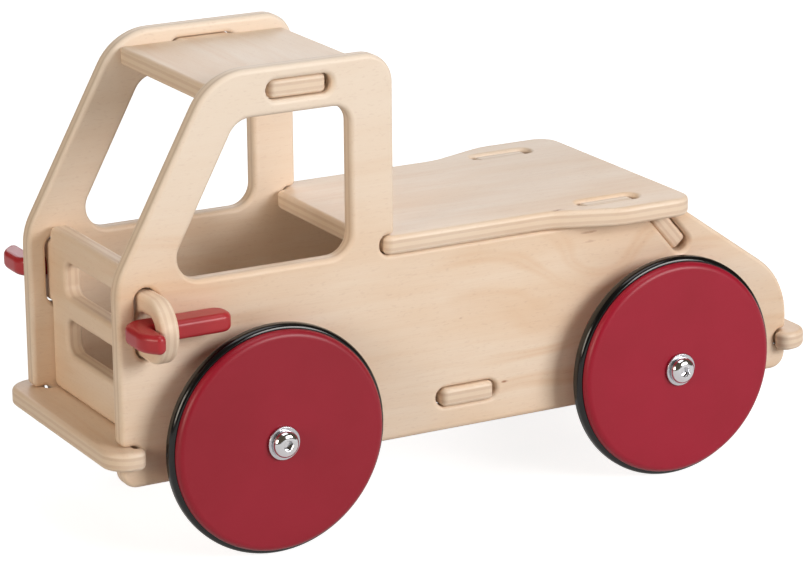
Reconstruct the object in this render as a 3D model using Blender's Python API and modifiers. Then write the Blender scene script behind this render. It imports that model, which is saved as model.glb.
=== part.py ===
"""Push-along toy truck made of slot-together plywood, with four rubber-tyred wheels.

Frame: +X is forward, +Y is the truck's left, +Z is up. The origin lies on the ground,
midway between the ends of the side panels. All sizes are in metres.
"""
import math

import bmesh
import bpy

NAME = "push_along_truck"

# ---- Sheet material -------------------------------------------------------------
PLY = 0.0098             # plywood thickness
EDGE = 0.0025            # radius of the rounded plywood edges
FIT = 0.0003             # gap left between touching pieces
SLOT = PLY + 2 * FIT     # width of a slot that takes one sheet
TAB_PLAY = 0.0054        # a tab is this much shorter than its round-ended slot

# ---- Side panels ----------------------------------------------------------------
PANEL_OUTER_Y = 0.060
PANEL_Y = PANEL_OUTER_Y - PLY / 2
INNER_Y = PANEL_OUTER_Y - PLY - FIT      # half width of what fits between the panels
PANEL_END_X = 0.1978
PANEL_BOTTOM_Z = 0.0415
NOSE_RADIUS = 0.0085
ROOF_Z = 0.2462
ROOF_FRONT_X = 0.1438
ROOF_FRONT_RADIUS = 0.032
ROOF_REAR_RADIUS = 0.0158
BEND_Z = 0.1471
BEND_RADIUS = 0.032
PILLAR_REAR_X = 0.0439
REAR_SLOPE_X = -0.1294
TAIL_Z = 0.0922
TAIL_RADIUS = 0.041

# ---- Window ---------------------------------------------------------------------
WINDOW_REAR_X = 0.0683
WINDOW_BOTTOM_Z = 0.1437
WINDOW_TOP_Z = 0.2216
WINDOW_FRONT_BOTTOM_X = 0.1726
WINDOW_FRONT_TOP_X = 0.1307

# ---- Bumpers --------------------------------------------------------------------
BUMPER_Z = 0.0583
BUMPER_END_X = {"front": 0.2073, "rear": 0.2097}
BUMPER_HALF_WIDTH = 0.0687
BUMPER_END_RADIUS = 0.0138
BUMPER_DEPTH = 0.0353       # from the outer edge to the root's inner edge
BUMPER_EAR_DEPTH = (0.0183, 0.0215)
BUMPER_SLOT_DEPTH = 0.0166
NOTCH_END_X = {"front": 0.1868, "rear": 0.1904}
NOTCH_RADIUS = {"front": SLOT / 2, "rear": 0.0045}
NOTCH_LIP = {"front": 0.0031, "rear": 0.0027}

# ---- Seat plate -----------------------------------------------------------------
SEAT_Z = 0.1460
REST_Z = SEAT_Z - PLY / 2 - FIT
SEAT_REAR_X = -0.1280
SEAT_FRONT_X = 0.0566
SEAT_HALF_WIDTH = 0.0624
SEAT_WIDE_HALF = 0.0755
SEAT_FLARE_FRONT_X = -0.046
SEAT_FLARE_REAR_X = -0.082
SEAT_SLOT_X = -0.0850
SEAT_SLOT_LENGTH = 0.0367
SEAT_NOTCH_X = 0.052
SEAT_NOTCH_RADIUS = 0.0046

# ---- Cross panels ---------------------------------------------------------------
ROOF_PANEL_Z = 0.2339
ROOF_PANEL_X = (0.0502, 0.1440)
ROOF_SLOT_X = 0.0960
ROOF_SLOT_LENGTH = 0.0368
ROOF_TAB_Y = 0.0575
FLOOR_Z = 0.0596
FLOOR_SLOT_X = 0.0023
FLOOR_SLOT_LENGTH = 0.0356
FLOOR_LENGTH = 0.094
FLOOR_TAB_Y = 0.0621
BRACE_X = -0.1286        # centre of the round lower end of the slanted slot
BRACE_Z = 0.1222
BRACE_ANGLE = math.radians(49.6)
BRACE_TOP = 0.0200       # along the slope, from that centre to the top edge
BRACE_BOTTOM = -0.045
BRACE_TAB_BOTTOM = -0.0025
BRACE_TAB_Y = 0.0575

# ---- Grille panel and its two keys ----------------------------------------------
GRILLE_X = 0.1816
GRILLE_BOTTOM_Z = BUMPER_Z + PLY / 2 + FIT
GRILLE_TOP_Z = 0.150
VENT_HALF_LENGTH = 0.032
VENT_HEIGHT = 0.0184
VENT_RADIUS = 0.006
VENT_Z = (0.0953, 0.1257)
EAR_Z = 0.1253
EAR_HEIGHT = 0.0332
EAR_END_Y = 0.087
EAR_SLOT_X = 0.18215
EAR_SLOT_WIDTH = 0.0123
EAR_SLOT_HEIGHT = 0.0367
EAR_HOLE_HEIGHT = 0.0146
EAR_HOLE_Y = (0.0555, 0.0778)
EAR_HOLE_RADIUS = 0.0072
KEY_EDGE = 0.003
KEY_Z = 0.1246
KEY_TAIL_X = 0.1423
KEY_TAIL_Y = 0.076
KEY_HEAD_X = 0.1982
KEY_HEAD_BEND_Y = 0.0870   # where the head's front edge turns rearward by 45 degrees

# ---- Wheels and axles -----------------------------------------------------------
AXLE_X = {"front": 0.1202, "rear": -0.1144}
AXLE_Z = 0.060
AXLE_RADIUS = 0.006
AXLE_HALF_LENGTH = 0.0815
AXLE_BORE_RADIUS = 0.0040
AXLE_BORE_DEPTH = 0.024
WHEEL_RADIUS = 0.0575
WHEEL_OUTER_Y = 0.082
WHEEL_WIDTH = 0.0155
WHEEL_EDGE = 0.004
WHEEL_BORE_RADIUS = AXLE_RADIUS + FIT
TYRE_RADIUS = 0.060
TYRE_WIDTH = 0.007
TYRE_DEPTH = 0.005
TYRE_EDGE = 0.0018
WASHER_RADIUS = 0.0087
WASHER_THICKNESS = 0.0014
BOLT_HEAD_RADIUS = 0.0070
BOLT_HEAD_HEIGHT = 0.0042
BOLT_SHANK_RADIUS = 0.0037
BOLT_SHANK_LENGTH = 0.022
SOCKET_WIDTH = 0.0050
SOCKET_DEPTH = 0.0024
SPACER_RADIUS = 0.010

# ---- Resolution -----------------------------------------------------------------
LARGE_ARC_STEP = math.radians(15)    # for radii of LARGE_RADIUS and more
SMALL_ARC_STEP = math.radians(22.5)
TINY_ARC_STEP = math.radians(45)     # for radii of TINY_RADIUS and less
LARGE_RADIUS = 0.012
TINY_RADIUS = 0.001
EDGE_STEPS = 1           # bevel resolution of the plywood edges
WHEEL_STEPS = 32
SMALL_STEPS = 20

# ---- Finishes: colour, roughness, metallic --------------------------------------
BIRCH = ((0.72, 0.55, 0.38), 0.55, 0.0)
RED_PAINT = ((0.36, 0.03, 0.045), 0.35, 0.0)
RUBBER = ((0.015, 0.015, 0.016), 0.45, 0.0)
STEEL = ((0.65, 0.65, 0.67), 0.22, 1.0)
NYLON = ((0.05, 0.05, 0.05), 0.50, 0.0)


# ---- Scene helpers --------------------------------------------------------------
def clear_scene():
    for obj in list(bpy.data.objects):
        bpy.data.objects.remove(obj)


def new_collection(name):
    collection = bpy.data.collections.new(name)
    bpy.context.scene.collection.children.link(collection)
    return collection


def new_material(name, finish):
    colour, roughness, metallic = finish
    material = bpy.data.materials.new(name)
    material.use_nodes = True
    material.diffuse_color = (*colour, 1.0)
    shader = material.node_tree.nodes["Principled BSDF"]
    shader.inputs["Base Color"].default_value = (*colour, 1.0)
    shader.inputs["Roughness"].default_value = roughness
    shader.inputs["Metallic"].default_value = metallic
    return material


def baked(source, name, finish):
    """Replace a curve or modified object by a welded mesh object with the final name."""
    bpy.context.view_layer.update()
    graph = bpy.context.evaluated_depsgraph_get()
    mesh = bpy.data.meshes.new_from_object(source.evaluated_get(graph))
    shape = bmesh.new()
    shape.from_mesh(mesh)
    bmesh.ops.remove_doubles(shape, verts=shape.verts[:], dist=1e-5)
    bmesh.ops.recalc_face_normals(shape, faces=shape.faces[:])
    shape.to_mesh(mesh)
    shape.free()
    mesh.materials.clear()
    mesh.materials.append(new_material(name + "_finish", finish))
    mesh.shade_smooth()
    mesh.set_sharp_from_angle(angle=math.radians(35))
    matrix = source.matrix_world.copy()
    bpy.data.objects.remove(source)
    mesh.name = name
    obj = bpy.data.objects.new(name, mesh)
    PARTS.objects.link(obj)
    obj.matrix_world = matrix
    return obj


# ---- Outlines -------------------------------------------------------------------
def arc_step(radius):
    if radius >= LARGE_RADIUS:
        return LARGE_ARC_STEP
    if radius > TINY_RADIUS:
        return SMALL_ARC_STEP
    return TINY_ARC_STEP


def rounded(corners):
    """Closed outline through (x, y, radius) corners, with each corner filleted."""
    points = []
    count = len(corners)
    for i, (x, y, radius) in enumerate(corners):
        before = corners[i - 1]
        after = corners[(i + 1) % count]
        in_angle = math.atan2(y - before[1], x - before[0])
        out_angle = math.atan2(after[1] - y, after[0] - x)
        turn = (out_angle - in_angle + math.pi) % (2 * math.pi) - math.pi
        if radius == 0 or abs(turn) < 1e-4:
            points.append((x, y))
            continue
        reach = radius * math.tan(abs(turn) / 2)
        side = math.copysign(1, turn)
        start_x = x - reach * math.cos(in_angle)
        start_y = y - reach * math.sin(in_angle)
        centre_x = start_x - side * radius * math.sin(in_angle)
        centre_y = start_y + side * radius * math.cos(in_angle)
        steps = max(2, round(abs(turn) / arc_step(radius)))
        for step in range(steps + 1):
            angle = in_angle - side * math.pi / 2 + turn * step / steps
            points.append((centre_x + radius * math.cos(angle), centre_y + radius * math.sin(angle)))
    return points


def slot_outline(centre_x, centre_y, size_x, size_y):
    """Slot with two round ends, along whichever side is the longer."""
    radius = min(size_x, size_y) / 2
    half_x = size_x / 2
    half_y = size_y / 2
    return rounded([
        (centre_x - half_x, centre_y - half_y, radius),
        (centre_x + half_x, centre_y - half_y, radius),
        (centre_x + half_x, centre_y + half_y, radius),
        (centre_x - half_x, centre_y + half_y, radius),
    ])


def circle_outline(centre_x, centre_y, radius, steps=14):
    turns = [2 * math.pi * step / steps for step in range(steps)]
    return [(centre_x + radius * math.cos(a), centre_y + radius * math.sin(a)) for a in turns]


def mirrored(half):
    """Close a half outline, given at y > 0 from front to rear, with its mirror image."""
    return half + [(x, -y, radius) for x, y, radius in reversed(half)]


# ---- Solids ---------------------------------------------------------------------
def plate(name, outlines, location, rotation, finish=BIRCH, edge=EDGE):
    """Flat sheet with rounded edges: the first outline is its rim, the others are holes."""
    curve = bpy.data.curves.new(name, "CURVE")
    curve.dimensions = "2D"
    curve.fill_mode = "BOTH"
    curve.extrude = PLY / 2 - edge
    curve.bevel_depth = edge
    curve.bevel_resolution = EDGE_STEPS
    curve.offset = -edge
    for outline in outlines:
        spline = curve.splines.new("POLY")
        spline.points.add(len(outline) - 1)
        for point, (x, y) in zip(spline.points, outline):
            point.co = (x, y, 0.0, 1.0)
        spline.use_cyclic_u = True
    obj = bpy.data.objects.new(name + "_sheet", curve)
    PARTS.objects.link(obj)
    obj.location = location
    obj.rotation_euler = rotation
    return baked(obj, name, finish)


def turned(name, profile, closed, steps, location, rotation, finish):
    """Body of revolution about local Z, from a profile of (radius, height) points."""
    count = len(profile)
    edges = [(i, i + 1) for i in range(count - 1)]
    if closed:
        edges.append((count - 1, 0))
    mesh = bpy.data.meshes.new(name + "_profile")
    mesh.from_pydata([(radius, 0.0, height) for radius, height in profile], edges, [])
    obj = bpy.data.objects.new(name + "_turned", mesh)
    PARTS.objects.link(obj)
    screw = obj.modifiers.new("Screw", "SCREW")
    screw.axis = "Z"
    screw.steps = steps
    screw.render_steps = steps
    screw.use_merge_vertices = True
    screw.merge_threshold = 1e-5
    obj.location = location
    obj.rotation_euler = rotation
    return baked(obj, name, finish)


def quarter_arc(centre, radius, start_degrees, steps):
    """Profile points of a clockwise quarter circle."""
    angles = [math.radians(start_degrees - 90 * step / steps) for step in range(steps + 1)]
    return [(centre[0] + radius * math.cos(a), centre[1] + radius * math.sin(a)) for a in angles]


# ---- Plywood pieces -------------------------------------------------------------
UPRIGHT = (math.pi / 2, 0, 0)                  # sheet in the XZ plane
CROSSWISE = (math.pi / 2, 0, math.pi / 2)      # sheet in the YZ plane
FLAT = (0, 0, 0)                               # sheet in the XY plane


def bumper_notch(end):
    """Corners of the round-ended notch that a bumper slides into, from its lower lip up."""
    forward = 1 if end == "front" else -1
    end_x = forward * PANEL_END_X
    inner_x = forward * NOTCH_END_X[end]
    round_end = NOTCH_RADIUS[end]
    lip = NOTCH_LIP[end]
    bottom = BUMPER_Z - SLOT / 2
    top = BUMPER_Z + SLOT / 2
    return [
        (end_x, bottom, lip),
        (inner_x, bottom, round_end),
        (inner_x, top, round_end),
        (end_x, top, lip),
    ]


def brace_point(along, across):
    """Point in the side panel's plane, measured along and across the slanted slot."""
    x = BRACE_X + along * math.cos(BRACE_ANGLE) + across * math.sin(BRACE_ANGLE)
    z = BRACE_Z + along * math.sin(BRACE_ANGLE) - across * math.cos(BRACE_ANGLE)
    return x, z


def side_panel_rim():
    half_slot = SLOT / 2
    front_bottom = brace_point(-half_slot, half_slot)
    rear_bottom = brace_point(-half_slot, -half_slot)
    slope = math.tan(BRACE_ANGLE)
    front_mouth_x = front_bottom[0] + (REST_Z - front_bottom[1]) / slope
    rear_mouth_x = rear_bottom[0] + (REST_Z - rear_bottom[1]) / slope
    tab_half = (SEAT_SLOT_LENGTH - TAB_PLAY) / 2
    tab_top = SEAT_Z + PLY / 2 - 0.001
    corners = [
        (-PANEL_END_X, PANEL_BOTTOM_Z, NOSE_RADIUS),
        (PANEL_END_X, PANEL_BOTTOM_Z, NOSE_RADIUS),
        *bumper_notch("front"),
        (PANEL_END_X, BEND_Z, BEND_RADIUS),
        (ROOF_FRONT_X, ROOF_Z, ROOF_FRONT_RADIUS),
        (PILLAR_REAR_X, ROOF_Z, ROOF_REAR_RADIUS),
        (PILLAR_REAR_X, SEAT_Z + SLOT / 2, 0.0026),
        (SEAT_NOTCH_X, SEAT_Z + SLOT / 2, SEAT_NOTCH_RADIUS),
        (SEAT_NOTCH_X, REST_Z, SEAT_NOTCH_RADIUS),
        (SEAT_SLOT_X + tab_half, REST_Z, 0.001),
        (SEAT_SLOT_X + tab_half, tab_top, 0.003),
        (SEAT_SLOT_X - tab_half, tab_top, 0.003),
        (SEAT_SLOT_X - tab_half, REST_Z, 0.001),
        (front_mouth_x, REST_Z, 0.004),
        (*front_bottom, half_slot),
        (*rear_bottom, half_slot),
        (rear_mouth_x, REST_Z, 0.0026),
        (REAR_SLOPE_X, REST_Z, 0.008),
        (-PANEL_END_X, TAIL_Z, TAIL_RADIUS),
        *reversed(bumper_notch("rear")),
    ]
    return rounded(corners)


def window_outline():
    return rounded([
        (WINDOW_REAR_X, WINDOW_BOTTOM_Z, 0.0115),
        (WINDOW_FRONT_BOTTOM_X, WINDOW_BOTTOM_Z, 0.012),
        (WINDOW_FRONT_TOP_X, WINDOW_TOP_Z, 0.013),
        (WINDOW_REAR_X, WINDOW_TOP_Z, 0.009),
    ])


def make_side_panels():
    outlines = [
        side_panel_rim(),
        window_outline(),
        slot_outline(ROOF_SLOT_X, ROOF_PANEL_Z, ROOF_SLOT_LENGTH, SLOT),
        slot_outline(FLOOR_SLOT_X, FLOOR_Z, FLOOR_SLOT_LENGTH, SLOT),
        slot_outline(EAR_SLOT_X, EAR_Z, EAR_SLOT_WIDTH, EAR_SLOT_HEIGHT),
    ]
    for x in AXLE_X.values():
        outlines.append(circle_outline(x, AXLE_Z, AXLE_RADIUS + FIT))
    plate("side_panel_left", outlines, (0, PANEL_Y, 0), UPRIGHT)
    plate("side_panel_right", outlines, (0, -PANEL_Y, 0), UPRIGHT)


def tabbed_rectangle(front_x, rear_x, tab_x, tab_length, tab_y):
    """Cross panel in plan, with one tab to each side."""
    return rounded(mirrored([
        (front_x, INNER_Y, 0.003),
        (tab_x + tab_length / 2, INNER_Y, 0.001),
        (tab_x + tab_length / 2, tab_y, 0.003),
        (tab_x - tab_length / 2, tab_y, 0.003),
        (tab_x - tab_length / 2, INNER_Y, 0.001),
        (rear_x, INNER_Y, 0.003),
    ]))


def make_roof_panel():
    rear_x, front_x = ROOF_PANEL_X
    rim = tabbed_rectangle(front_x, rear_x, ROOF_SLOT_X, ROOF_SLOT_LENGTH - TAB_PLAY, ROOF_TAB_Y)
    plate("roof_panel", [rim], (0, 0, ROOF_PANEL_Z), FLAT)


def make_floor_panel():
    front_x = FLOOR_SLOT_X + FLOOR_LENGTH / 2
    rear_x = FLOOR_SLOT_X - FLOOR_LENGTH / 2
    rim = tabbed_rectangle(front_x, rear_x, FLOOR_SLOT_X, FLOOR_SLOT_LENGTH - TAB_PLAY, FLOOR_TAB_Y)
    plate("floor_panel", [rim], (0, 0, FLOOR_Z), FLAT)


def make_brace_panel():
    """Slanted cross panel: its tabs rest in the open slots and the seat closes them."""
    rim = rounded(mirrored([
        (BRACE_TOP, BRACE_TAB_Y, 0.003),
        (BRACE_TAB_BOTTOM, BRACE_TAB_Y, 0.003),
        (BRACE_TAB_BOTTOM, INNER_Y, 0.001),
        (BRACE_BOTTOM, INNER_Y, 0.006),
    ]))
    plate("brace_panel", [rim], (BRACE_X, 0, BRACE_Z), (0, -BRACE_ANGLE, 0))


def make_seat_plate():
    shoulder_x = SEAT_NOTCH_X - SEAT_NOTCH_RADIUS + EDGE
    rim = rounded(mirrored([
        (SEAT_FRONT_X, INNER_Y, 0.005),
        (shoulder_x, INNER_Y, 0.001),
        (shoulder_x, SEAT_HALF_WIDTH, 0.004),
        (SEAT_FLARE_FRONT_X, SEAT_HALF_WIDTH, 0.035),
        (SEAT_FLARE_REAR_X, SEAT_WIDE_HALF, 0.035),
        (SEAT_REAR_X, SEAT_WIDE_HALF, 0.012),
    ]))
    slots = [slot_outline(SEAT_SLOT_X, y, SEAT_SLOT_LENGTH, SLOT) for y in (PANEL_Y, -PANEL_Y)]
    plate("seat_plate", [rim, *slots], (0, 0, SEAT_Z), FLAT)


def make_bumpers():
    """Both bumpers share one outline, drawn from the outer edge at x = 0 inward to -x."""
    outer_y = PANEL_OUTER_Y + FIT
    rim = rounded(mirrored([
        (0.0, BUMPER_HALF_WIDTH, BUMPER_END_RADIUS),
        (-BUMPER_EAR_DEPTH[0], BUMPER_HALF_WIDTH, 0.0052),
        (-BUMPER_EAR_DEPTH[1], outer_y, 0.0026),
        (-BUMPER_SLOT_DEPTH, outer_y, 0.001),
        (-BUMPER_SLOT_DEPTH, INNER_Y, 0.001),
        (-BUMPER_DEPTH, INNER_Y, 0.004),
    ]))
    plate("front_bumper", [rim], (BUMPER_END_X["front"], 0, BUMPER_Z), FLAT)
    plate("rear_bumper", [rim], (-BUMPER_END_X["rear"], 0, BUMPER_Z), (0, 0, math.pi))


def make_grille_panel():
    """Front cross panel, drawn as (y, z), with two vents and an ear on each side."""
    ear_top = EAR_Z + EAR_HEIGHT / 2
    ear_bottom = EAR_Z - EAR_HEIGHT / 2
    ear_radius = EAR_HEIGHT / 2
    right_half = [
        (INNER_Y, GRILLE_BOTTOM_Z, 0.004),
        (INNER_Y, ear_bottom, 0.001),
        (EAR_END_Y, ear_bottom, ear_radius),
        (EAR_END_Y, ear_top, ear_radius),
        (INNER_Y, ear_top, 0.001),
        (INNER_Y, GRILLE_TOP_Z, 0.0055),
    ]
    rim = rounded(right_half + [(-y, z, radius) for y, z, radius in reversed(right_half)])
    outlines = [rim]
    for z in VENT_Z:
        outlines.append(rounded([
            (-VENT_HALF_LENGTH, z - VENT_HEIGHT / 2, VENT_RADIUS),
            (VENT_HALF_LENGTH, z - VENT_HEIGHT / 2, VENT_RADIUS),
            (VENT_HALF_LENGTH, z + VENT_HEIGHT / 2, VENT_RADIUS),
            (-VENT_HALF_LENGTH, z + VENT_HEIGHT / 2, VENT_RADIUS),
        ]))
    hole_y = sum(EAR_HOLE_Y) / 2
    hole_half = (EAR_HOLE_Y[1] - EAR_HOLE_Y[0]) / 2
    for side in (1, -1):
        outlines.append(rounded([
            (side * hole_y - hole_half, EAR_Z - EAR_HOLE_HEIGHT / 2, EAR_HOLE_RADIUS),
            (side * hole_y + hole_half, EAR_Z - EAR_HOLE_HEIGHT / 2, EAR_HOLE_RADIUS),
            (side * hole_y + hole_half, EAR_Z + EAR_HOLE_HEIGHT / 2, EAR_HOLE_RADIUS),
            (side * hole_y - hole_half, EAR_Z + EAR_HOLE_HEIGHT / 2, EAR_HOLE_RADIUS),
        ]))
    plate("grille_panel", outlines, (GRILLE_X, 0, 0), CROSSWISE)


# ---- Keys -----------------------------------------------------------------------
def make_keys():
    """Painted locking keys: a straight tail through the ear and a head bent outward."""
    inner_y = PANEL_OUTER_Y + FIT
    head_back_x = GRILLE_X + PLY / 2 + FIT
    left = [
        (KEY_TAIL_X, inner_y, 0.007),
        (KEY_HEAD_X, inner_y, 0.0112),
        (KEY_HEAD_X, KEY_HEAD_BEND_Y, 0.014),
        (head_back_x, KEY_HEAD_BEND_Y + KEY_HEAD_X - head_back_x, KEY_EDGE + 0.0002),
        (head_back_x, KEY_TAIL_Y, 0.001),
        (KEY_TAIL_X, KEY_TAIL_Y, 0.006),
    ]
    right = [(x, -y, radius) for x, y, radius in reversed(left)]
    for name, corners in (("key_left", left), ("key_right", right)):
        outline = [(x - KEY_TAIL_X, y) for x, y in rounded(corners)]
        plate(name, [outline], (KEY_TAIL_X, 0, KEY_Z), FLAT, RED_PAINT, KEY_EDGE)


# ---- Wheels and axles -----------------------------------------------------------
def side_rotation(side):
    """Turn local +Z to point outward on the left (side 1) or right (side -1)."""
    return (-side * math.pi / 2, 0, 0)


def disc_profile():
    half = WHEEL_WIDTH / 2
    groove_radius = TYRE_RADIUS - TYRE_DEPTH - FIT
    groove_half = TYRE_WIDTH / 2 + FIT
    shoulder = (WHEEL_RADIUS - WHEEL_EDGE + 0.0004, half - WHEEL_EDGE + 0.0004)
    front = quarter_arc(shoulder, WHEEL_EDGE - 0.0004, 90, 3)
    rear = quarter_arc((shoulder[0], -shoulder[1]), WHEEL_EDGE - 0.0004, 0, 3)
    return [
        (WHEEL_BORE_RADIUS, half),
        *front,
        (WHEEL_RADIUS, groove_half),
        (groove_radius, groove_half),
        (groove_radius, -groove_half),
        (WHEEL_RADIUS, -groove_half),
        *rear,
        (WHEEL_BORE_RADIUS, -half),
    ]


def tyre_profile():
    half = TYRE_WIDTH / 2
    inner = TYRE_RADIUS - TYRE_DEPTH
    centre = TYRE_RADIUS - TYRE_EDGE
    front = quarter_arc((centre, half - TYRE_EDGE), TYRE_EDGE, 90, 2)
    rear = quarter_arc((centre, -half + TYRE_EDGE), TYRE_EDGE, 0, 2)
    return [(inner, half), *front, *rear, (inner, -half)]


def ring_profile(inner, outer, thickness):
    return [(inner, thickness / 2), (outer, thickness / 2), (outer, -thickness / 2), (inner, -thickness / 2)]


def bolt_profile():
    """Button head above its seat at height 0, and a shank below it."""
    rim = 0.0006
    crown = SOCKET_WIDTH * 0.66
    dome = [
        (crown + (BOLT_HEAD_RADIUS - crown) * math.sin(a), rim + (BOLT_HEAD_HEIGHT - rim) * math.cos(a))
        for a in (math.radians(30 * step) for step in range(4))
    ]
    return [
        (0.0, BOLT_HEAD_HEIGHT),
        *dome,
        (BOLT_HEAD_RADIUS, 0.0),
        (BOLT_SHANK_RADIUS, 0.0),
        (BOLT_SHANK_RADIUS, -BOLT_SHANK_LENGTH),
        (0.0, -BOLT_SHANK_LENGTH),
    ]


def make_socket_cutter():
    """Hexagonal prism that cuts the key socket of every bolt."""
    bpy.ops.mesh.primitive_cylinder_add(vertices=6, radius=SOCKET_WIDTH / math.sqrt(3), depth=2 * SOCKET_DEPTH)
    cutter = bpy.context.object
    cutter.name = "socket_cutter"
    for collection in list(cutter.users_collection):
        collection.objects.unlink(cutter)
    CUTTERS.objects.link(cutter)
    cutter.hide_render = True
    cutter.display_type = "WIRE"
    return cutter


def make_bolt(name, location, rotation, cutter):
    bolt = turned(name, bolt_profile(), False, SMALL_STEPS, location, rotation, STEEL)
    top = bolt.matrix_world.to_3x3().col[2] * BOLT_HEAD_HEIGHT
    cutter.location = bolt.matrix_world.translation + top
    cutter.rotation_euler = rotation
    cut = bolt.modifiers.new("Socket", "BOOLEAN")
    cut.operation = "DIFFERENCE"
    cut.solver = "EXACT"
    cut.object = cutter
    bolt.name = name + "_blank"
    return baked(bolt, name, STEEL)


def make_wheel_set(end, cutter):
    """One axle with a wheel, washer, bolt and spacer at each end."""
    x = AXLE_X[end]
    axle = [
        (0.0, AXLE_HALF_LENGTH - AXLE_BORE_DEPTH),
        (AXLE_BORE_RADIUS, AXLE_HALF_LENGTH - AXLE_BORE_DEPTH),
        (AXLE_BORE_RADIUS, AXLE_HALF_LENGTH),
        (AXLE_RADIUS, AXLE_HALF_LENGTH),
        (AXLE_RADIUS, -AXLE_HALF_LENGTH),
        (AXLE_BORE_RADIUS, -AXLE_HALF_LENGTH),
        (AXLE_BORE_RADIUS, -AXLE_HALF_LENGTH + AXLE_BORE_DEPTH),
        (0.0, -AXLE_HALF_LENGTH + AXLE_BORE_DEPTH),
    ]
    turned("axle_" + end, axle, False, SMALL_STEPS, (x, 0, AXLE_Z), side_rotation(1), STEEL)
    wheel_y = WHEEL_OUTER_Y - WHEEL_WIDTH / 2
    washer_y = WHEEL_OUTER_Y + FIT + WASHER_THICKNESS / 2
    bolt_y = WHEEL_OUTER_Y + 2 * FIT + WASHER_THICKNESS
    spacer_inner_y = PANEL_OUTER_Y + FIT
    spacer_outer_y = WHEEL_OUTER_Y - WHEEL_WIDTH - FIT
    spacer_y = (spacer_inner_y + spacer_outer_y) / 2
    washer = ring_profile(BOLT_SHANK_RADIUS + FIT, WASHER_RADIUS, WASHER_THICKNESS)
    spacer = ring_profile(AXLE_RADIUS + FIT, SPACER_RADIUS, spacer_outer_y - spacer_inner_y)
    for word, side in (("left", 1), ("right", -1)):
        place = end + "_" + word
        turn = side_rotation(side)
        hub = (x, side * wheel_y, AXLE_Z)
        turned("wheel_disc_" + place, disc_profile(), True, WHEEL_STEPS, hub, turn, RED_PAINT)
        turned("tyre_" + place, tyre_profile(), True, WHEEL_STEPS, hub, turn, RUBBER)
        turned("washer_" + place, washer, True, SMALL_STEPS, (x, side * washer_y, AXLE_Z), turn, STEEL)
        turned("spacer_" + place, spacer, True, SMALL_STEPS, (x, side * spacer_y, AXLE_Z), turn, NYLON)
        make_bolt("bolt_" + place, (x, side * bolt_y, AXLE_Z), turn, cutter)


clear_scene()
PARTS = new_collection(NAME)
CUTTERS = new_collection("cutters")
make_side_panels()
make_roof_panel()
make_floor_panel()
make_brace_panel()
make_seat_plate()
make_bumpers()
make_grille_panel()
make_keys()
SOCKET_CUTTER = make_socket_cutter()
for axle_end in AXLE_X:
    make_wheel_set(axle_end, SOCKET_CUTTER)
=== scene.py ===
"""Looks of the push-along plywood truck: finer pieces, materials, studio and camera."""
import math

import bmesh
import bpy
from mathutils import Matrix, Vector


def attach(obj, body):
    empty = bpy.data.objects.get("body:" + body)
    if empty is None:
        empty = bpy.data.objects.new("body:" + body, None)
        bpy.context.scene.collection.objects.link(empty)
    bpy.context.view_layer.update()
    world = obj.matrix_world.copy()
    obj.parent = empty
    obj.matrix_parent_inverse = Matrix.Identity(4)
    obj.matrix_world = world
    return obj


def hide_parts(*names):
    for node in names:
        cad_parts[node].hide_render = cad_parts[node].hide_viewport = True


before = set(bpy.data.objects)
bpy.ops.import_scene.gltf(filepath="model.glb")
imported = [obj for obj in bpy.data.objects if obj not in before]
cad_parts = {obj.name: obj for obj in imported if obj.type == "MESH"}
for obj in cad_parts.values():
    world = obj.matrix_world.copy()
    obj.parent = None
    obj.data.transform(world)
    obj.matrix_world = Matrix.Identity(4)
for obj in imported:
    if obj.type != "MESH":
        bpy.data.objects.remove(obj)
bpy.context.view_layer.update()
BODY = "truck_body"

# ---- Sizes of the plywood pieces, in metres --------------------------------------
PLY = 0.0098
FIT = 0.0003
SLOT = PLY + 2 * FIT
EDGE = 0.0025
CORNER_MARGIN = 0.0002
HAIR = 1e-6
TAB_PLAY = 0.0054
TAB_END_Y = 0.0575
PANEL_OUTER_Y = 0.060
PANEL_Y = PANEL_OUTER_Y - PLY / 2
INNER_Y = PANEL_OUTER_Y - PLY - FIT
PANEL_END_X = 0.1978
PANEL_BOTTOM_Z = 0.0415
ROOF_Z = 0.2462
PILLAR_REAR_X = 0.0439
WINDOW_BOTTOM_Z = 0.1437
WINDOW_TOP_Z = 0.2216
WINDOW_REAR_X = 0.0683
BUMPER_Z = 0.0583
BUMPER_END_X = {"front": 0.2073, "rear": 0.2097}
BUMPER_HALF_WIDTH = 0.0687
BUMPER_SLOT_DEPTH = 0.0166
NOTCH_END_X = {"front": 0.1868, "rear": 0.1904}
NOTCH_RADIUS = {"front": SLOT / 2, "rear": 0.0045}
NOTCH_LIP = {"front": 0.0031, "rear": 0.0027}
SEAT_Z = 0.1460
REST_Z = SEAT_Z - PLY / 2 - FIT
SEAT_SLOT_X = -0.0850
SEAT_SLOT_LENGTH = 0.0367
SEAT_NOTCH_X = 0.052
SEAT_NOTCH_RADIUS = 0.0046
SEAT_TAB_SUNK = 0.001
ROOF_PANEL_Z = 0.2339
ROOF_PANEL_FRONT_X = 0.1440
ROOF_PANEL_REAR_X = 0.0502
ROOF_SLOT_X = 0.0960
ROOF_SLOT_LENGTH = 0.0368
FLOOR_Z = 0.0596
FLOOR_HALF_LENGTH = 0.047
FLOOR_SLOT_X = 0.0023
FLOOR_SLOT_LENGTH = 0.0356
FLOOR_TAB_END_Y = 0.0621
BRACE_X = -0.1286
BRACE_Z = 0.1222
BRACE_ANGLE = math.radians(49.6)
GRILLE_X = 0.1816
GRILLE_TOP_Z = 0.150
VENT_Z = (0.0953, 0.1257)
VENT_WIDTH = 0.064
VENT_HEIGHT = 0.0184
VENT_RADIUS = 0.006
EAR_Z = 0.1253
EAR_HEIGHT = 0.0332
EAR_END_Y = 0.087
EAR_HOLE_Y = 0.06665
EAR_HOLE_WIDTH = 0.0223
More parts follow.
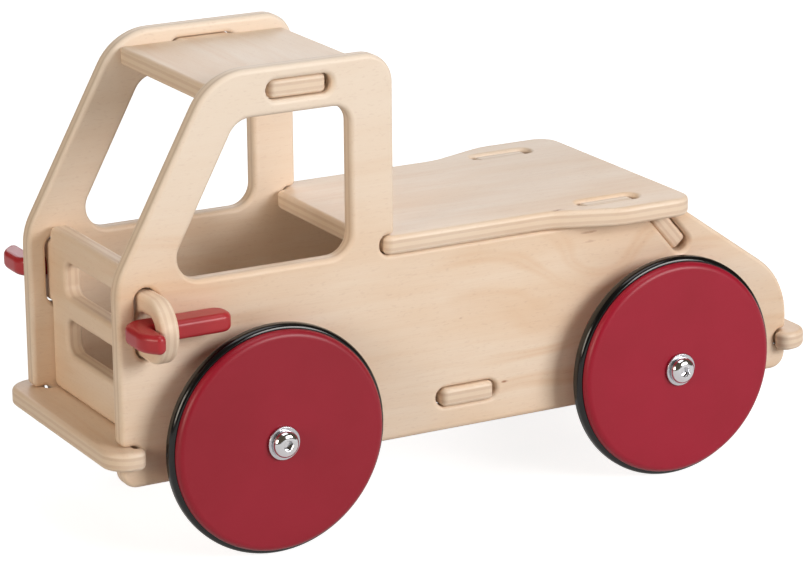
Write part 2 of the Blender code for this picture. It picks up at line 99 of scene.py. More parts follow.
EAR_HOLE_HEIGHT = 0.0146
EAR_HOLE_RADIUS = 0.0072
EAR_SLOT_X = 0.18215
EAR_SLOT_WIDTH = 0.0123
EAR_SLOT_HEIGHT = 0.0367
KEY_EDGE = 0.003
KEY_Z = 0.1246
KEY_TAIL_X = 0.1423
KEY_TAIL_Y = 0.076
KEY_HEAD_X = 0.1982
KEY_HEAD_BEND_Y = 0.0870

# ---- Sizes of the wheels and their fittings, in metres ---------------------------
AXLE_X = {"front": 0.1202, "rear": -0.1144}
AXLE_Z = 0.060
AXLE_BORE = 0.0063
WHEEL_RADIUS = 0.0575
WHEEL_OUTER_Y = 0.082
WHEEL_WIDTH = 0.0155
WHEEL_EDGE = 0.0036
TYRE_RADIUS = 0.060
TYRE_WIDTH = 0.007
TYRE_DEPTH = 0.005
TYRE_EDGE = 0.0026
SMALL_CHAMFER = 0.0004
WASHER_RADIUS = 0.0087
WASHER_THICKNESS = 0.0014
WASHER_BORE = 0.0040
WASHER_CHAMFER = 0.0003
WASHER_CREASE = 0.0001
BOLT_RADIUS = 0.0070
BOLT_HEIGHT = 0.0042
BOLT_RIM = 0.0008
BOLT_FLAT = 0.0031
BOLT_CHAMFER = 0.0002
BOLT_FLAT_DROP = 0.00003
SHANK_RADIUS = 0.0037
SHANK_LENGTH = 0.022
SOCKET_WIDTH = 0.0050
SOCKET_DEPTH = 0.0026
# Each socket is turned by its own angle, in degrees.
SOCKET_TURN = 12
SOCKET_TURN_STEP = 17

# ---- Fineness of the curves ------------------------------------------------------
EDGE_STEPS = 4
DOME_STEPS = 12
WHEEL_EDGE_STEPS = 10
TYRE_EDGE_STEPS = 8
WHEEL_STEPS = 144
FITTING_STEPS = 72
CIRCLE_STEPS = 40
LARGE_ARC_RADIUS = 0.012
TINY_ARC_RADIUS = 0.001
LARGE_ARC_STEP = math.radians(6)
SMALL_ARC_STEP = math.radians(10)
TINY_ARC_STEP = math.radians(22.5)
WELD_DISTANCE = 1e-5
CREASE_ANGLE = math.radians(40)
SOCKET_CREASE_ANGLE = math.radians(30)

UPRIGHT = (math.pi / 2, 0, 0)
CROSSWISE = (math.pi / 2, 0, math.pi / 2)
FLAT = (0, 0, 0)
ABOUT_FACE = (0, 0, math.pi)

# ---- Studio ----------------------------------------------------------------------
FLOOR_SIZE = 12.0
FLOOR_GLOW = 0.85
MIRRORED_GLOW = 0.45
FILL_COLOUR = (1.0, 0.82, 0.56, 1.0)
FILL_STRENGTH = 0.10
WHITE = (1.0, 1.0, 1.0, 1.0)
LIGHT_TARGET = Vector((0, 0, 0.12))
# Each light: name, azimuth and elevation in degrees, distance, size, power, colour.
LIGHTS = [
    ("key_right", 118, 20, 2.2, (1.2, 0.9), 34.0, (1.0, 0.985, 0.97)),
    ("back_sheen", 246, 22, 2.6, (2.6, 1.2), 22.0, (0.94, 0.96, 1.0)),
    ("top", 110, 78, 1.9, (1.2, 1.2), 10.0, (0.97, 0.98, 1.0)),
    ("front_warm", 18, 16, 2.2, (1.0, 0.8), 18.5, (1.0, 0.90, 0.77)),
]
CAMERA_PLACE = Vector((0.8471, 1.5401, 0.6280))
CAMERA_YAW = math.radians(28.66)
CAMERA_PITCH = math.radians(16.62)
CAMERA_ROLL = -0.0087
CAMERA_LENS = 153.75
CAMERA_SENSOR = 36.0


# ---- Outlines --------------------------------------------------------------------
def arc_step(radius):
    if radius >= LARGE_ARC_RADIUS:
        return LARGE_ARC_STEP
    if radius > TINY_ARC_RADIUS:
        return SMALL_ARC_STEP
    return TINY_ARC_STEP


def rounded(corners):
    """Closed outline through (x, y, radius) corners, with each corner filleted."""
    points = []
    count = len(corners)
    for i, (x, y, radius) in enumerate(corners):
        before = corners[i - 1]
        after = corners[(i + 1) % count]
        in_angle = math.atan2(y - before[1], x - before[0])
        out_angle = math.atan2(after[1] - y, after[0] - x)
        turn = (out_angle - in_angle + math.pi) % (2 * math.pi) - math.pi
        reach = radius * math.tan(abs(turn) / 2)
        side = math.copysign(1, turn)
        start_x = x - reach * math.cos(in_angle)
        start_y = y - reach * math.sin(in_angle)
        centre_x = start_x - side * radius * math.sin(in_angle)
        centre_y = start_y + side * radius * math.cos(in_angle)
        steps = max(2, round(abs(turn) / arc_step(radius)))
        for step in range(steps + 1):
            angle = in_angle - side * math.pi / 2 + turn * step / steps
            points.append((centre_x + radius * math.cos(angle), centre_y + radius * math.sin(angle)))
    return points


def box_outline(centre_x, centre_y, size_x, size_y, radius):
    half_x = size_x / 2
    half_y = size_y / 2
    return rounded([
        (centre_x - half_x, centre_y - half_y, radius),
        (centre_x + half_x, centre_y - half_y, radius),
        (centre_x + half_x, centre_y + half_y, radius),
        (centre_x - half_x, centre_y + half_y, radius),
    ])


def slot_outline(centre_x, centre_y, size_x, size_y):
    return box_outline(centre_x, centre_y, size_x, size_y, min(size_x, size_y) / 2 - HAIR)


def circle_outline(centre_x, centre_y, radius):
    turns = [2 * math.pi * step / CIRCLE_STEPS for step in range(CIRCLE_STEPS)]
    return [(centre_x + radius * math.cos(a), centre_y + radius * math.sin(a)) for a in turns]


def mirrored(half):
    return half + [(x, -y, radius) for x, y, radius in reversed(half)]


def bumper_notch(end):
    forward = 1 if end == "front" else -1
    end_x = forward * PANEL_END_X
    inner_x = forward * NOTCH_END_X[end]
    round_end = NOTCH_RADIUS[end]
    lip = NOTCH_LIP[end]
    bottom = BUMPER_Z - SLOT / 2
    top = BUMPER_Z + SLOT / 2
    return [
        (end_x, bottom, lip),
        (inner_x, bottom, round_end),
        (inner_x, top, round_end),
        (end_x, top, lip),
    ]


def brace_point(along, across):
    x = BRACE_X + along * math.cos(BRACE_ANGLE) + across * math.sin(BRACE_ANGLE)
    z = BRACE_Z + along * math.sin(BRACE_ANGLE) - across * math.cos(BRACE_ANGLE)
    return x, z


def side_panel_rim():
    half_slot = SLOT / 2
    front_bottom = brace_point(-half_slot, half_slot)
    rear_bottom = brace_point(-half_slot, -half_slot)
    slope = math.tan(BRACE_ANGLE)
    front_mouth_x = front_bottom[0] + (REST_Z - front_bottom[1]) / slope
    rear_mouth_x = rear_bottom[0] + (REST_Z - rear_bottom[1]) / slope
    tab_half = (SEAT_SLOT_LENGTH - TAB_PLAY) / 2
    tab_top = SEAT_Z + PLY / 2 - SEAT_TAB_SUNK
    return rounded([
        (-PANEL_END_X, PANEL_BOTTOM_Z, 0.0085),
        (PANEL_END_X, PANEL_BOTTOM_Z, 0.0085),
        *bumper_notch("front"),
        (PANEL_END_X, 0.1471, 0.032),
        (0.1438, ROOF_Z, 0.032),
        (PILLAR_REAR_X, ROOF_Z, 0.0158),
        (PILLAR_REAR_X, SEAT_Z + SLOT / 2, 0.0026),
        (SEAT_NOTCH_X, SEAT_Z + SLOT / 2, SEAT_NOTCH_RADIUS),
        (SEAT_NOTCH_X, REST_Z, SEAT_NOTCH_RADIUS),
        (SEAT_SLOT_X + tab_half, REST_Z, 0.001),
        (SEAT_SLOT_X + tab_half, tab_top, 0.003),
        (SEAT_SLOT_X - tab_half, tab_top, 0.003),
        (SEAT_SLOT_X - tab_half, REST_Z, 0.001),
        (front_mouth_x, REST_Z, 0.004),
        (*front_bottom, half_slot),
        (*rear_bottom, half_slot),
        (rear_mouth_x, REST_Z, 0.0026),
        (-0.1294, REST_Z, 0.008),
        (-PANEL_END_X, 0.0922, 0.041),
        *reversed(bumper_notch("rear")),
    ])


def side_panel_outlines():
    window = rounded([
        (WINDOW_REAR_X, WINDOW_BOTTOM_Z, 0.0115),
        (0.1726, WINDOW_BOTTOM_Z, 0.012),
        (0.1307, WINDOW_TOP_Z, 0.013),
        (WINDOW_REAR_X, WINDOW_TOP_Z, 0.009),
    ])
    return [
        side_panel_rim(),
        window,
        slot_outline(ROOF_SLOT_X, ROOF_PANEL_Z, ROOF_SLOT_LENGTH, SLOT),
        slot_outline(FLOOR_SLOT_X, FLOOR_Z, FLOOR_SLOT_LENGTH, SLOT),
        slot_outline(EAR_SLOT_X, EAR_Z, EAR_SLOT_WIDTH, EAR_SLOT_HEIGHT),
        circle_outline(AXLE_X["front"], AXLE_Z, AXLE_BORE),
        circle_outline(AXLE_X["rear"], AXLE_Z, AXLE_BORE),
    ]


def tabbed_rectangle(front_x, rear_x, tab_x, tab_length, tab_y):
    return rounded(mirrored([
        (front_x, INNER_Y, 0.003),
        (tab_x + tab_length / 2, INNER_Y, 0.001),
        (tab_x + tab_length / 2, tab_y, 0.003),
        (tab_x - tab_length / 2, tab_y, 0.003),
        (tab_x - tab_length / 2, INNER_Y, 0.001),
        (rear_x, INNER_Y, 0.003),
    ]))


def roof_rim():
    tab_length = ROOF_SLOT_LENGTH - TAB_PLAY
    return tabbed_rectangle(ROOF_PANEL_FRONT_X, ROOF_PANEL_REAR_X, ROOF_SLOT_X, tab_length, TAB_END_Y)


def floor_rim():
    front_x = FLOOR_SLOT_X + FLOOR_HALF_LENGTH
    rear_x = FLOOR_SLOT_X - FLOOR_HALF_LENGTH
    tab_length = FLOOR_SLOT_LENGTH - TAB_PLAY
    return tabbed_rectangle(front_x, rear_x, FLOOR_SLOT_X, tab_length, FLOOR_TAB_END_Y)


def brace_rim():
    return rounded(mirrored([
        (0.0200, TAB_END_Y, 0.003),
        (-0.0025, TAB_END_Y, 0.003),
        (-0.0025, INNER_Y, 0.001),
        (-0.045, INNER_Y, 0.006),
    ]))


def seat_outlines():
    shoulder_x = SEAT_NOTCH_X - SEAT_NOTCH_RADIUS + EDGE
    rim = rounded(mirrored([
        (0.0566, INNER_Y, 0.005),
        (shoulder_x, INNER_Y, 0.001),
        (shoulder_x, 0.0624, 0.004),
        (-0.046, 0.0624, 0.035),
        (-0.082, 0.0755, 0.035),
        (-0.1280, 0.0755, 0.012),
    ]))
    slots = [slot_outline(SEAT_SLOT_X, y, SEAT_SLOT_LENGTH, SLOT) for y in (PANEL_Y, -PANEL_Y)]
    return [rim, *slots]


def bumper_rim():
    outer_y = PANEL_OUTER_Y + FIT
    return rounded(mirrored([
        (0.0, BUMPER_HALF_WIDTH, 0.0138),
        (-0.0183, BUMPER_HALF_WIDTH, 0.0052),
        (-0.0215, outer_y, 0.0026),
        (-BUMPER_SLOT_DEPTH, outer_y, 0.001),
        (-BUMPER_SLOT_DEPTH, INNER_Y, 0.001),
        (-0.0353, INNER_Y, 0.004),
    ]))


def ear_hole(centre_y):
    return box_outline(centre_y, EAR_Z, EAR_HOLE_WIDTH, EAR_HOLE_HEIGHT, EAR_HOLE_RADIUS)


def grille_outlines():
    ear_top = EAR_Z + EAR_HEIGHT / 2
    ear_bottom = EAR_Z - EAR_HEIGHT / 2
    ear_radius = EAR_HEIGHT / 2 - HAIR
    half = [
        (INNER_Y, BUMPER_Z + PLY / 2 + FIT, 0.004),
        (INNER_Y, ear_bottom, 0.001),
        (EAR_END_Y, ear_bottom, ear_radius),
        (EAR_END_Y, ear_top, ear_radius),
        (INNER_Y, ear_top, 0.001),
        (INNER_Y, GRILLE_TOP_Z, 0.0055),
    ]
    rim = rounded(half + [(-y, z, radius) for y, z, radius in reversed(half)])
    vents = [box_outline(0, z, VENT_WIDTH, VENT_HEIGHT, VENT_RADIUS) for z in VENT_Z]
    return [rim, *vents, ear_hole(EAR_HOLE_Y), ear_hole(-EAR_HOLE_Y)]


def key_rim(side):
    """The key's corner at its tip needs a radius a little above the edge's rounding."""
    inner_y = PANEL_OUTER_Y + FIT
    head_back_x = GRILLE_X + PLY / 2 + FIT
    head_end_y = KEY_HEAD_BEND_Y + KEY_HEAD_X - head_back_x
    corners = [
        (KEY_TAIL_X, inner_y, 0.007),
        (KEY_HEAD_X, inner_y, 0.0112),
        (KEY_HEAD_X, KEY_HEAD_BEND_Y, 0.014),
        (head_back_x, head_end_y, KEY_EDGE + CORNER_MARGIN),
        (head_back_x, KEY_TAIL_Y, 0.001),
        (KEY_TAIL_X, KEY_TAIL_Y, 0.006),
    ]
    if side < 0:
        corners = [(x, -y, radius) for x, y, radius in reversed(corners)]
    return [(x - KEY_TAIL_X, y) for x, y in rounded(corners)]


# ---- Solids ----------------------------------------------------------------------
def finished(source, name, material, body, node):
    """Turn a curve or modified object into the final smooth piece, riding on its body."""
    bpy.context.view_layer.update()
    graph = bpy.context.evaluated_depsgraph_get()
    mesh = bpy.data.meshes.new_from_object(source.evaluated_get(graph))
    shape = bmesh.new()
    shape.from_mesh(mesh)
    bmesh.ops.remove_doubles(shape, verts=shape.verts[:], dist=WELD_DISTANCE)
    bmesh.ops.recalc_face_normals(shape, faces=shape.faces[:])
    shape.to_mesh(mesh)
    shape.free()
    mesh.materials.clear()
    mesh.materials.append(material)
    mesh.shade_smooth()
    mesh.set_sharp_from_angle(angle=CREASE_ANGLE)
    matrix = source.matrix_world.copy()
    bpy.data.objects.remove(source)
    obj = bpy.data.objects.new(name, mesh)
    bpy.context.scene.collection.objects.link(obj)
    obj.matrix_world = matrix
    normals = obj.modifiers.new("Normals", "WEIGHTED_NORMAL")
    normals.mode = "FACE_AREA"
    normals.keep_sharp = True
    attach(obj, body)
    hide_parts(node)
    return obj


def plate(node, outlines, location, rotation, material, body=BODY, edge=EDGE):
    """Flat sheet with rounded edges: the first outline is its rim, the others are holes."""
    curve = bpy.data.curves.new(node + "_curve", "CURVE")
    curve.dimensions = "2D"
    curve.fill_mode = "BOTH"
    curve.extrude = PLY / 2 - edge
    curve.bevel_depth = edge
    curve.bevel_resolution = EDGE_STEPS
    curve.offset = -edge
    for outline in outlines:
        spline = curve.splines.new("POLY")
        spline.points.add(len(outline) - 1)
        for point, (x, y) in zip(spline.points, outline):
            point.co = (x, y, 0.0, 1.0)
        spline.use_cyclic_u = True
    obj = bpy.data.objects.new(node + "_sheet", curve)
    bpy.context.scene.collection.objects.link(obj)
    obj.location = location
    obj.rotation_euler = rotation
    return finished(obj, node + "_fine", material, body, node)


def turned(node, profile, closed, steps, location, rotation, material, body):
    """Body of revolution about local Z, from a profile of (radius, height) points."""
    count = len(profile)
    edges = [(i, i + 1) for i in range(count - 1)]
    if closed:
        edges.append((count - 1, 0))
    mesh = bpy.data.meshes.new(node + "_profile")
    mesh.from_pydata([(radius, 0.0, height) for radius, height in profile], edges, [])
    obj = bpy.data.objects.new(node + "_turned", mesh)
    bpy.context.scene.collection.objects.link(obj)
    screw = obj.modifiers.new("Screw", "SCREW")
    screw.axis = "Z"
    screw.steps = steps
    screw.render_steps = steps
    screw.use_merge_vertices = True
    screw.merge_threshold = WELD_DISTANCE
    obj.location = location
    obj.rotation_euler = rotation
    return finished(obj, node + "_fine", material, body, node)


def quarter_arc(centre, radius, start_degrees, steps):
    angles = [math.radians(start_degrees - 90 * step / steps) for step in range(steps + 1)]
    return [(centre[0] + radius * math.cos(a), centre[1] + radius * math.sin(a)) for a in angles]


# ---- Material helpers ------------------------------------------------------------
class Nodes:
    """Small helper that adds and links shader nodes."""

    def __init__(self, name):
        self.material = bpy.data.materials.new(name)
        self.material.use_nodes = True
        self.tree = self.material.node_tree
        self.shader = self.tree.nodes["Principled BSDF"]

    def add(self, kind, **settings):
        node = self.tree.nodes.new(kind)
        for key, value in settings.items():
            setattr(node, key, value)
        return node

    def link(self, source, target):
        self.tree.links.new(source, target)

    def put(self, socket, value):
        """Set an input to a number, colour or another node's output."""
        if isinstance(value, bpy.types.NodeSocket):
            self.link(value, socket)
        else:
            socket.default_value = value

    def set(self, name, value):
        """Set one of the shader's inputs."""
        self.put(self.shader.inputs[name], value)

    def math(self, operation, a, b=0.0, c=0.0):
        node = self.add("ShaderNodeMath", operation=operation)
        for socket, value in zip(node.inputs, (a, b, c)):
            self.put(socket, value)
        return node.outputs[0]

    def mix(self, factor, a, b):
        node = self.add("ShaderNodeMix", data_type="RGBA")
        self.put(node.inputs[0], factor)
        self.put(node.inputs[6], a)
        self.put(node.inputs[7], b)
        return node.outputs[2]

    def tint(self, colour, mask, strength, target):
        """Move a colour towards a target colour where the mask is bright."""
        return self.mix(self.math("MULTIPLY", mask, strength), colour, target)

    def ramp(self, value, stops):
        """Linear ramp from (position, grey level) stops."""
        node = self.add("ShaderNodeValToRGB")
        elements = node.color_ramp.elements
        while len(elements) < len(stops):
            elements.new(0.5)
        for element, (position, level) in zip(elements, stops):
            element.position = position
            element.color = (level, level, level, 1.0)
        self.link(value, node.inputs[0])
        return node.outputs[0]

    def noise(self, vector, scale, offset=(0, 0, 0), detail=2.0, roughness=0.5):
        """Noise with its own scale, in features per metre, along each axis."""
        mapping = self.add("ShaderNodeMapping")
        mapping.inputs["Location"].default_value = offset
        mapping.inputs["Scale"].default_value = scale
        self.link(vector, mapping.inputs["Vector"])
        node = self.add("ShaderNodeTexNoise")
        self.link(mapping.outputs[0], node.inputs["Vector"])
        node.inputs["Scale"].default_value = 1.0
        node.inputs["Detail"].default_value = detail
        node.inputs["Roughness"].default_value = roughness
        return node.outputs[0]

    def oval(self, along, across, centre, half_size):
        """Squared distance from a centre, which is 1 on the rim of an ellipse."""
        a = self.math("DIVIDE", self.math("SUBTRACT", along, centre[0]), half_size[0])
        b = self.math("DIVIDE", self.math("SUBTRACT", across, centre[1]), half_size[1])
        return self.math("ADD", self.math("MULTIPLY", a, a), self.math("MULTIPLY", b, b))

    def bump(self, height, strength, distance):
        """Fine relief of the surface."""
        node = self.add("ShaderNodeBump")
        node.inputs["Strength"].default_value = strength
        node.inputs["Distance"].default_value = distance
        self.link(height, node.inputs["Height"])
        self.set("Normal", node.outputs[0])

    def coordinates(self):
        return self.add("ShaderNodeTexCoord").outputs["Object"]


def rgb(red, green, blue):
    """Linear colour from 0-255 screen values."""
    return tuple((value / 255) ** 2.2 for value in (red, green, blue)) + (1.0,)


# ---- Wood ------------------------------------------------------------------------
WOOD_PALE = rgb(239, 219, 198)
WOOD_WARM = rgb(231, 200, 169)
WOOD_FIGURE = rgb(216, 168, 122)
WOOD_CROSS_PLY = rgb(196, 160, 124)
WOOD_CORE_PLY = rgb(230, 206, 180)
WOOD_SPECK = rgb(150, 86, 48)
# Pale tone for the cut edges, and for the painted sheen on the upper part of the side panels.
WOOD_EDGE_AND_SHEEN = rgb(241, 227, 211)
FIGURE_DRIFT = 0.055
FIGURE_PITCH = 0.021
FIGURE_TINT = 0.24
LEFT_FIGURE_TINT = 0.42
RIGHT_FIGURE_TINT = 0.36
STREAK_TINT = 0.12
FIBRE_TINT = 0.12
RAY_TINT = 0.10
# Strength of the paler tint on the cut edges: partly their own tone, partly a painted highlight.
EDGE_TONE_AND_HIGHLIGHT_TINT = 0.35
CORE_PLY_TINT = 0.45
CROSS_PLY_TINT = 0.30
# The side panels are painted paler towards the top of the cab: a painted sheen of light, not the wood's own
# colour.
PAINTED_SHEEN_Z = 0.13
PAINTED_SHEEN_RISE = 0.09
PAINTED_SHEEN_TINT = 0.75
WOOD_ROUGHNESS = 0.42

# Knots are (along, across, half length, half height, strength). Bumps, which bend the
# figure, are (along, across, half length, half height, push). Both are in metres.
LEFT_KNOTS = [
    (-0.0712, 0.1360, 0.0072, 0.0011, 0.60),
    (-0.0722, 0.1308, 0.0050, 0.0011, 0.34),
    (-0.0202, 0.0625, 0.0030, 0.0011, 0.85),
    (0.0060, 0.1010, 0.0016, 0.0008, 0.30),
]
LEFT_BUMPS = [
    (-0.078, 0.118, 0.034, 0.022, 0.040),
    (-0.036, 0.088, 0.026, 0.012, 0.016),
    (0.150, 0.220, 0.060, 0.050, 0.030),
]
RIGHT_BUMPS = [(0.02, 0.09, 0.09, 0.03, 0.03)]
SEAT_KNOTS = [(-0.0515, 0.0612, 0.0060, 0.0016, 0.75)]


def figure_lines(n, position, along, across, grain, offset, bumps):
    """Contour lines of the height across the grain, pushed aside by bumps and noise, in patches."""
    drift = n.noise(position, grain(5, 16, 9), offset, 2.5, 0.5)
    height = n.math("ADD", across, n.math("MULTIPLY", drift, FIGURE_DRIFT))
    for bump_along, bump_across, half_length, half_height, push in bumps:
        square = n.oval(along, across, (bump_along, bump_across), (half_length, half_height))
        swell = n.math("EXPONENT", n.math("MULTIPLY", square, -1.0))
        height = n.math("ADD", height, n.math("MULTIPLY", swell, push))
    wave = n.math("SINE", n.math("MULTIPLY", height, 2 * math.pi / FIGURE_PITCH))
    lines = n.ramp(n.math("MULTIPLY_ADD", wave, 0.5, 0.5), [(0.45, 0.0), (0.93, 1.0), (1.0, 0.55)])
    patch_offset = tuple(value + 3.1 for value in offset)
    patch = n.noise(position, grain(9, 15, 9), patch_offset, 2.0, 0.55)
    return n.math("MULTIPLY", lines, n.ramp(patch, [(0.42, 0.0), (0.66, 1.0)]))


def with_knots(n, colour, position, along, across, offset, knots):
    """Small dark marks with ragged rims."""
    for knot_along, knot_across, half_length, half_height, strength in knots:
        square = n.oval(along, across, (knot_along, knot_across), (half_length, half_height))
        wobble = n.math("MULTIPLY", n.noise(position, (400, 400, 400), offset), 0.9)
        mask = n.ramp(n.math("ADD", square, wobble), [(0.35, 1.0), (1.0, 0.0)])
        colour = n.tint(colour, mask, strength, WOOD_SPECK)
    return colour


def with_plies(n, colour, position, through, offset):
    """The plies, which show only where the sheet's edge is cut. Also gives the cross plies' mask. The whole
    cut edge is first tinted paler: partly the edge's own tone, partly a painted highlight.
    """
    depth = n.math("DIVIDE", n.math("ABSOLUTE", through), PLY / 2)
    ripple = n.noise(position, (90, 90, 400), offset, 2.0, 0.5)
    depth = n.math("ADD", depth, n.math("MULTIPLY_ADD", ripple, 0.10, -0.05))
    edge_tone_and_highlight = n.ramp(depth, [(0.55, 1.0), (0.97, 0.0)])
    core = n.ramp(depth, [(0.17, 1.0), (0.23, 0.0)])
    cross = n.ramp(depth, [(0.16, 0.0), (0.26, 1.0), (0.48, 1.0), (0.60, 0.0)])
    pores = n.noise(position, (900, 900, 2500), offset, 2.0, 0.7)
    end_grain = n.mix(n.math("MULTIPLY", pores, 0.5), WOOD_CROSS_PLY, WOOD_SPECK)
    # Cut edges painted paler all over: partly the edge's own tone, partly a painted highlight.
    colour = n.tint(colour, edge_tone_and_highlight, EDGE_TONE_AND_HIGHLIGHT_TINT, WOOD_EDGE_AND_SHEEN)
    colour = n.tint(colour, core, CORE_PLY_TINT, WOOD_CORE_PLY)
    colour = n.tint(colour, cross, CROSS_PLY_TINT, end_grain)
    return colour, cross


def wood(name, seed, along_x=True, knots=(), bumps=(), figure=FIGURE_TINT, painted_sheen_above=None):
    """Lacquered birch plywood. Local Z is through the sheet; the grain runs along X or Y. From a given height
    up, the sheet is painted paler: a painted sheen of light.
    """
    n = Nodes(name)
    position = n.coordinates()
    split = n.add("ShaderNodeSeparateXYZ")
    n.link(position, split.inputs[0])
    offset = (seed * 1.7, seed * 2.9, seed * 0.7)
    along = split.outputs[0 if along_x else 1]
    across = split.outputs[1 if along_x else 0]

    def grain(lengthwise, crosswise, through):
        if along_x:
            return lengthwise, crosswise, through
        return crosswise, lengthwise, through

    lines = figure_lines(n, position, along, across, grain, offset, bumps)
    broad = n.noise(position, grain(7, 26, 20), offset, 3.0, 0.55)
    streak = n.noise(position, grain(14, 260, 260), offset, 3.0, 0.6)
    fibre = n.noise(position, grain(60, 1900, 1900), offset, 2.0, 0.6)
    ray = n.noise(position, grain(320, 900, 900), offset, 1.0, 0.5)
    colour = n.mix(n.ramp(broad, [(0.35, 0.0), (0.72, 0.85)]), WOOD_PALE, WOOD_WARM)
    colour = n.tint(colour, lines, figure, WOOD_FIGURE)
    colour = n.tint(colour, n.ramp(streak, [(0.40, 0.0), (0.75, 1.0)]), STREAK_TINT, WOOD_FIGURE)
    colour = n.tint(colour, n.ramp(fibre, [(0.50, 0.0), (0.80, 1.0)]), FIBRE_TINT, WOOD_CROSS_PLY)
    # Painted sheen: the wood turns paler from the given height upwards.
    if painted_sheen_above is not None:
        painted_sheen_rise = n.math("DIVIDE", n.math("SUBTRACT", across, painted_sheen_above), PAINTED_SHEEN_RISE)
        colour = n.tint(colour, n.ramp(painted_sheen_rise, [(0.0, 0.0), (1.0, 1.0)]), PAINTED_SHEEN_TINT, WOOD_EDGE_AND_SHEEN)
    colour = n.tint(colour, n.ramp(ray, [(0.60, 0.0), (0.78, 1.0)]), RAY_TINT, WOOD_SPECK)
    colour = with_knots(n, colour, position, along, across, offset, knots)
    colour, cross = with_plies(n, colour, position, split.outputs[2], offset)
    n.set("Base Color", colour)

    gloss = n.math("MULTIPLY_ADD", broad, 0.12, WOOD_ROUGHNESS)
    gloss = n.math("MULTIPLY_ADD", cross, 0.12, gloss)
    gloss = n.math("MULTIPLY_ADD", fibre, 0.10, gloss)
    n.set("Roughness", gloss)
    grooves = n.math("SUBTRACT", n.math("MULTIPLY", fibre, 0.6), n.math("MULTIPLY", cross, 0.5))
    n.bump(n.math("MULTIPLY_ADD", streak, 0.5, grooves), 0.35, 0.00008)
    n.set("Specular IOR Level", 0.35)
    n.set("Coat Weight", 0.25)
    n.set("Coat Roughness", 0.30)
    return n.material


# ---- Paint, rubber, metal and nylon ----------------------------------------------
KEY_RED = (rgb(180, 50, 56), rgb(164, 40, 48))
# The wheels share one paint, but the front and rear wheels get slightly different reds to match how each is
# lit: painted light and shade.
WHEEL_RED_LIT_AND_SHADED = {
    "front": (rgb(150, 26, 46), rgb(142, 21, 40)),
    "rear": (rgb(157, 22, 48), rgb(149, 18, 42)),
}
PAINT_DUST = rgb(214, 120, 126)
RUBBER_BLACK = rgb(16, 16, 18)
RUBBER_DUST = rgb(34, 32, 32)
BOLT_CHROME = rgb(225, 226, 230)
WASHER_STEEL = rgb(205, 206, 212)
AXLE_STEEL = rgb(198, 198, 202)
STEEL_SMEAR = rgb(150, 150, 156)
NYLON_BLACK = rgb(40, 40, 42)
NYLON_GREY = rgb(58, 57, 58)


def paint(name, seed, reds, coat=0.10, rough=0.34):
    """Satin red paint on wood: slow drift between two reds, brush texture and fine dust."""
    base, dark = reds
    n = Nodes(name)
    position = n.coordinates()
    offset = (seed * 1.3, seed * 0.9, seed * 2.1)
    drift = n.noise(position, (18, 18, 18), offset, 3.0, 0.55)
    grain = n.noise(position, (60, 700, 700), offset, 3.0, 0.6)
    peel = n.noise(position, (900, 900, 900), offset, 2.0, 0.5)
    dust = n.noise(position, (2600, 2600, 2600), offset, 1.0, 0.5)
    colour = n.mix(n.ramp(drift, [(0.35, 0.0), (0.70, 1.0)]), base, dark)
    colour = n.tint(colour, n.ramp(grain, [(0.52, 0.0), (0.75, 1.0)]), 0.16, dark)
    colour = n.tint(colour, n.ramp(dust, [(0.70, 0.0), (0.80, 1.0)]), 0.10, PAINT_DUST)
    n.set("Base Color", colour)
    n.set("Roughness", n.math("MULTIPLY_ADD", drift, 0.14, rough))
    n.bump(n.math("MULTIPLY_ADD", grain, 0.5, peel), 0.20, 0.00006)
    n.set("Specular IOR Level", 0.36)
    n.set("Coat Weight", coat)
    n.set("Coat Roughness", 0.22)
    return n.material


def rubber(name, seed):
    """Glossy black rubber with fine grit and dusty patches."""
    n = Nodes(name)
    position = n.coordinates()
    offset = (seed, seed * 2, seed * 3)
    dust = n.noise(position, (40, 40, 40), offset, 4.0, 0.6)
    grit = n.noise(position, (1500, 1500, 1500), offset, 2.0, 0.5)
    mask = n.ramp(dust, [(0.45, 0.0), (0.80, 1.0)])
    n.set("Base Color", n.tint(RUBBER_BLACK, mask, 0.35, RUBBER_DUST))
    n.set("Roughness", n.math("MULTIPLY_ADD", dust, 0.14, 0.09))
    n.bump(grit, 0.15, 0.00005)
    n.set("Specular IOR Level", 0.5)
    return n.material


def metal(name, seed, base, low, high, scratch=(900, 900, 40)):
    """Bright steel with turning marks and slight smears."""
    n = Nodes(name)
    position = n.coordinates()
    offset = (seed, seed * 2, seed * 3)
    smear = n.noise(position, (220, 220, 220), offset, 3.0, 0.6)
    lines = n.noise(position, scratch, offset, 2.0, 0.6)
    n.set("Base Color", n.tint(base, smear, 0.25, STEEL_SMEAR))
    n.set("Roughness", n.math("MULTIPLY_ADD", smear, high - low, low))
    n.bump(lines, 0.08, 0.00004)
    n.set("Metallic", 1.0)
    return n.material


def nylon(name):
    """Dull black nylon with a fine grain."""
    n = Nodes(name)
    grain = n.noise(n.coordinates(), (800, 800, 800), detail=3.0, roughness=0.6)
    n.set("Base Color", n.mix(grain, NYLON_BLACK, NYLON_GREY))
    n.set("Roughness", n.math("MULTIPLY_ADD", grain, 0.2, 0.42))
    n.bump(grain, 0.2, 0.00005)
    return n.material


# ---- Plywood pieces --------------------------------------------------------------
def make_side_panels():
    """The panels' local Y is height. Local Z is -Y of the truck."""
    left = wood("birch_side_left", 3.0, knots=LEFT_KNOTS, bumps=LEFT_BUMPS,
                figure=LEFT_FIGURE_TINT, painted_sheen_above=PAINTED_SHEEN_Z)
    right = wood("birch_side_right", 11.0, bumps=RIGHT_BUMPS,
                 figure=RIGHT_FIGURE_TINT, painted_sheen_above=PAINTED_SHEEN_Z)
    plate("side_panel_left", side_panel_outlines(), (0, PANEL_Y, 0), UPRIGHT, left)
    plate("side_panel_right", side_panel_outlines(), (0, -PANEL_Y, 0), UPRIGHT, right)


